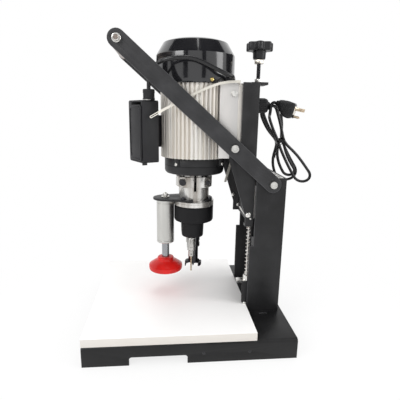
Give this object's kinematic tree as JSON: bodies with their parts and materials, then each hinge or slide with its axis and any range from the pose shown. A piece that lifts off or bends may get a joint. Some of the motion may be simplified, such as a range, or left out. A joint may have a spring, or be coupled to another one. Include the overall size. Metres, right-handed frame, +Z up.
{
  "type": "hinge boring machine",
  "caption": "Bench-top hinge boring machine: a lever pushes a finned motor and geared drill head down a steel column onto a work board, with a presser foot and depth stop.",
  "frame": {"origin": "middle of the base channel's footprint, on the bench", "axes": "+Z up, +X from the operator's handle towards the column, -Y towards the near side with the notch in the base flange"},
  "size_m": [0.4744, 0.34, 0.57],
  "materials": {
    "black_paint": "satin black powder coat",
    "gloss_black": "gloss black",
    "zinc_steel": "bright zinc plate",
    "bright_steel": "machined bright",
    "dark_steel": "black oxide",
    "cast_aluminium": "as cast",
    "machined_aluminium": "machined",
    "winding": "enamelled copper and core plates",
    "white_board": "white laminate",
    "black_plastic": "moulded, fine grain",
    "red_plastic": "moulded red",
    "white_plastic": "natural nylon",
    "cord_rubber": "soft black sheath"
  },
  "bodies": {
    "stand": {"base_channel": "black_paint", "work_board": "white_board", "column_channel": "black_paint", "stop_plate": "zinc_steel", "guide_rod_near": "bright_steel", "guide_rod_far": "bright_steel", "gas_spring_tube": "gloss_black", "spring_bracket": "zinc_steel", "spring_rod": "zinc_steel", "return_spring": "zinc_steel", "hinge_bolt_near": "zinc_steel", "hinge_bolt_far": "zinc_steel"},
    "carriage": {"carriage_channel": "black_paint", "guide_block": "machined_aluminium", "gas_spring_rod": "bright_steel", "motor_mount": "machined_aluminium", "motor_housing": "cast_aluminium", "stator": "winding", "upper_bearing": "bright_steel", "lower_bearing": "bright_steel", "fan_cowl": "gloss_black", "end_bell": "black_paint", "clamp_hub": "cast_aluminium", "presser_plate": "black_paint", "head_flange": "bright_steel", "gear_case": "black_plastic", "presser_tube": "machined_aluminium", "presser_spring": "zinc_steel", "capacitor_box": "black_plastic", "box_lid": "black_plastic", "capacitor": "white_plastic", "box_gland": "black_plastic", "motor_lead": "cord_rubber", "mains_gland": "black_plastic", "motor_strap": "white_plastic", "mains_cord": "cord_rubber", "cord_hank": "cord_rubber", "hank_tie": "cord_rubber", "mains_plug": "cord_rubber"},
    "lever": {"lever_arm_near": "black_paint", "lever_arm_far": "black_paint", "handle_bar": "bright_steel", "handle_nut_near": "zinc_steel", "handle_nut_far": "zinc_steel", "link_bolt_near": "zinc_steel", "link_bolt_far": "zinc_steel"},
    "main_spindle": {"rotor": "bright_steel", "cooling_fan": "black_plastic", "centre_spindle": "dark_steel", "boring_bit": "dark_steel"},
    "near_spindle": {"side_spindle_near": "bright_steel", "dowel_bit_near": "bright_steel"},
    "far_spindle": {"side_spindle_far": "bright_steel", "dowel_bit_far": "bright_steel"},
    "presser": {"presser_rod": "bright_steel", "presser_foot": "red_plastic"},
    "depth_stop": {"depth_rod": "dark_steel"},
    "depth_knob": {"jam_nut": "dark_steel", "star_knob": "black_plastic"},
    "switch": {"power_switch": "red_plastic"}
  },
  "joints": [
    {"name": "carriage_feed", "type": "slide", "parent": "stand", "child": "carriage", "axis": [0, 0, -1], "range_m": [0, 0.052], "stiffness_N_per_m": 800, "springref_m": -0.25, "deforming": ["return_spring"]},
    {"name": "lever_swing", "type": "hinge", "parent": "stand", "child": "lever", "pos_m": [0.157, 0, 0.3055], "axis": [0, -1, 0], "range_deg": [0, 22.8]},
    {"name": "main_spin", "type": "hinge", "parent": "carriage", "child": "main_spindle", "pos_m": [0.013, 0, 0.2], "axis": [0, 0, 1], "continuous": true},
    {"name": "near_spin", "type": "hinge", "parent": "carriage", "child": "near_spindle", "pos_m": [0.007, -0.024, 0.2], "axis": [0, 0, 1], "continuous": true},
    {"name": "far_spin", "type": "hinge", "parent": "carriage", "child": "far_spindle", "pos_m": [0.007, 0.024, 0.2], "axis": [0, 0, 1], "continuous": true},
    {"name": "presser_slide", "type": "slide", "parent": "carriage", "child": "presser", "axis": [0, 0, 1], "range_m": [0, 0.032], "stiffness_N_per_m": 300, "springref_m": -0.02, "deforming": ["presser_spring"]},
    {"name": "depth_feed", "type": "slide", "parent": "carriage", "child": "depth_stop", "axis": [0, 0, 1], "range_m": [-0.025, 0.02]},
    {"name": "knob_turn", "type": "hinge", "parent": "depth_stop", "child": "depth_knob", "pos_m": [0.1364, 0, 0.55], "axis": [0, 0, 1], "range_deg": [-7201, 5761]},
    {"name": "switch_tip", "type": "hinge", "parent": "carriage", "child": "switch", "pos_m": [-0.0994, -0.0105, 0.384], "axis": [-0.8742, -0.4856, 0], "range_deg": [0, 16]}
  ],
  "couplings": [
    {"joint": "lever_swing", "follows": "carriage_feed", "rad_per_m": 7.65},
    {"joint": "near_spin", "follows": "main_spin", "ratio": -1},
    {"joint": "far_spin", "follows": "main_spin", "ratio": -1},
    {"joint": "knob_turn", "follows": "depth_feed", "rad_per_m": 5026.5}
  ]
}
